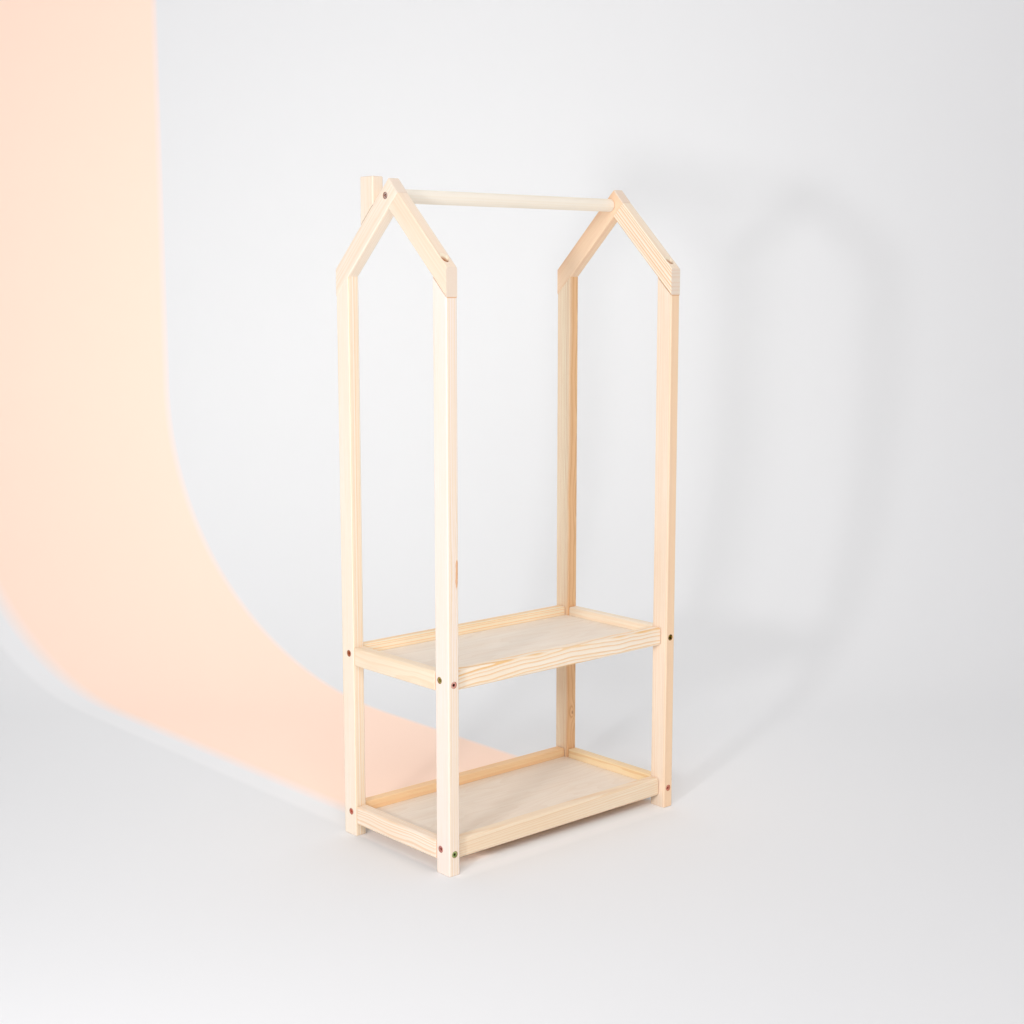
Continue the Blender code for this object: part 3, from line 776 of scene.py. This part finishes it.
def thread(bm, top, tip):
    """Ridge wound round the core, from the plain shank down to the point."""
    low = THREAD_PITCH / 2
    corners = [(THREAD_FOOT, 0, top), (THREAD_FOOT, 0, top - low),
               (THREAD_RADIUS, 0, top - low / 2)]
    section = bm.faces.new([bm.verts.new(corner) for corner in corners])
    steps = round((top - tip) / THREAD_PITCH * THREAD_STEPS)
    before = set(bm.verts) - set(section.verts)
    bmesh.ops.spin(bm, geom=[section, *section.edges, *section.verts], cent=(0, 0, 0),
                   axis=(0, 0, 1), dvec=(0, 0, -THREAD_PITCH / THREAD_STEPS),
                   angle=math.tau / THREAD_STEPS * steps, steps=steps)
    for vert in set(bm.verts) - before:
        ends = min(top - vert.co.z, vert.co.z - tip + low)
        share = max(0.0, min(1.0, ends / (2 * THREAD_PITCH)))
        reach = vert.co.xy.length
        vert.co.xy *= (THREAD_SUNK + (reach - THREAD_SUNK) * share) / reach


def screw_body(length):
    """Countersunk screw hanging from the origin down -Z."""
    socket = SOCKET_WIDTH / 2
    cone = HEAD_RADIUS - SHANK_RADIUS
    step = SHANK_RADIUS - CORE_RADIUS
    plain = -length * PLAIN_SHARE
    profile = [(0, -SOCKET_DEPTH - SOCKET_POINT), (socket, -SOCKET_DEPTH), (socket, -SOCKET_RIM),
               (socket + SOCKET_RIM, -HEAD_ROUNDING), (HEAD_RADIUS * HEAD_FLAT_SHARE, 0),
               (HEAD_RADIUS - 2 * HEAD_ROUNDING, 0), (HEAD_RADIUS, -HEAD_ROUNDING),
               (HEAD_RADIUS, -HEAD_RIM), (SHANK_RADIUS, -HEAD_RIM - cone), (SHANK_RADIUS, plain),
               (CORE_RADIUS, plain - step), (CORE_RADIUS, TIP_LENGTH - length), (0, -length)]
    bm = bmesh.new()
    line = [bm.verts.new((reach, 0, height)) for reach, height in profile]
    edges = [bm.edges.new(pair) for pair in zip(line, line[1:])]
    bmesh.ops.spin(bm, geom=line + edges, cent=(0, 0, 0), axis=(0, 0, 1), angle=math.tau,
                   steps=HEAD_SIDES, use_merge=True)
    bmesh.ops.remove_doubles(bm, verts=bm.verts, dist=MERGE_DISTANCE / 10)
    for vert in bm.verts:
        reach = vert.co.xy.length
        in_socket = vert.co.z > -SOCKET_DEPTH - HEAD_ROUNDING
        if in_socket and 0 < reach < socket + SOCKET_RIM + HEAD_ROUNDING:
            turn = math.atan2(vert.co.y, vert.co.x) % (math.pi / 3)
            vert.co.xy *= 1 / math.cos(turn - math.pi / 6)
    thread(bm, plain - THREAD_START, TIP_LENGTH / 2 - length)
    bmesh.ops.recalc_face_normals(bm, faces=bm.faces)
    return bm


def screw(number, node):
    """Threaded screw in place of a plain one, in the colour of its own film."""
    way = head_faces(node)
    head = head_spot(node)
    tip = min(vert.co.dot(way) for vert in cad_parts[node].data.vertices)
    turn = Vector((0, 0, 1)).rotation_difference(way) @ Quaternion((0, 0, 1), number * HEAD_TURN)
    bm = screw_body(head.dot(way) - tip)
    bmesh.ops.transform(bm, matrix=Matrix.Translation(head) @ turn.to_matrix().to_4x4(),
                        verts=bm.verts)
    film = FILMS[SCREW_FILMS.get(node, FILM_ORDER[number % len(FILM_ORDER)])]
    material = yellow_zinc("Yellow zinc " + node.replace("_", " "), head, turn.to_euler(),
                           number * FILM_SHIFT, film)
    mesh = smooth_mesh(node + "_threaded", bm, material)
    mesh.set_sharp_from_angle(angle=SHARP_ANGLE)
    piece = placed(node + "_threaded", mesh)
    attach(piece, BODY)
    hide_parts(node)


for number, node in enumerate(sorted(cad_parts)):
    if node.startswith("screw_"):
        screw(number, node)


# Studio

def paper_roll():
    """Floor and wall in one sheet of paper, bent in a wide curve."""
    bm = bmesh.new()
    start = EYE - VIEW_LINE * PAPER_IN_FRONT - ACROSS * PAPER_HALF_WIDTH
    start.z = 0
    bend_start = start + VIEW_LINE * (PAPER_IN_FRONT + PAPER_BEND_START)
    first = bm.verts.new(start)
    second = bm.verts.new(bend_start)
    bm.edges.new((first, second))
    turn = bmesh.ops.spin(bm, geom=[second], cent=bend_start + Vector((0, 0, PAPER_BEND)),
                          axis=-ACROSS, angle=-math.pi / 2, steps=PAPER_BEND_STEPS)
    last = [item for item in turn["geom_last"] if isinstance(item, bmesh.types.BMVert)][0]
    top = bm.verts.new(last.co + Vector((0, 0, PAPER_HEIGHT)))
    bm.edges.new((last, top))
    drawn = bmesh.ops.extrude_edge_only(bm, edges=bm.edges[:])
    far = [item for item in drawn["geom"] if isinstance(item, bmesh.types.BMVert)]
    bmesh.ops.translate(bm, verts=far, vec=ACROSS * (2 * PAPER_HALF_WIDTH))
    bmesh.ops.recalc_face_normals(bm, faces=bm.faces)
    if min(bm.faces, key=lambda face: face.calc_center_median().z).normal.z < 0:
        bmesh.ops.reverse_faces(bm, faces=bm.faces)
    paper = placed("studio_paper", smooth_mesh("studio_paper", bm, studio_paper()))


def lamp(name, place, target, size, power):
    light = bpy.data.lights.new(name, 'AREA')
    light.shape = 'DISK'
    light.size = size
    light.energy = power
    item = placed(name, light)
    item.location = place
    item.rotation_mode = 'QUATERNION'
    item.rotation_quaternion = (target - place).to_track_quat('-Z', 'Y')


def room_light():
    """Even light from all sides, and the room as the camera sees it past the paper."""
    world = bpy.data.worlds.new("Pale studio room")
    world.use_nodes = True
    tree = world.node_tree
    lit = tree.nodes["Background"]
    lit.inputs["Color"].default_value = (1.0, 1.0, 1.0, 1)
    lit.inputs["Strength"].default_value = ROOM_LIGHT
    seen = add(tree, "Background", {"Color": ROOM_SEEN, "Strength": 1.0})
    path = add(tree, "LightPath").outputs
    rays = sums(tree, 'MAXIMUM', path["Is Camera Ray"], path["Is Glossy Ray"])
    rays = sums(tree, 'MAXIMUM', rays, path["Is Transmission Ray"])
    both = add(tree, "MixShader", {0: rays, 1: lit.outputs[0], 2: seen.outputs[0]}).outputs[0]
    tree.links.new(both, tree.nodes["World Output"].inputs["Surface"])
    bpy.context.scene.world = world


def camera():
    data = bpy.data.cameras.new("Photo view")
    data.lens = LENS
    data.sensor_width = SENSOR
    data.sensor_fit = 'HORIZONTAL'
    item = placed("Photo view", data)
    item.location = EYE
    item.rotation_euler = (math.pi / 2 + PITCH, 0, -YAW)
    bpy.context.scene.camera = item


paper_roll()
for name, (place, target, size, power) in LAMPS.items():
    lamp(name, place, target, size, power)
room_light()
camera()
bpy.context.scene.view_settings.view_transform = 'Standard'
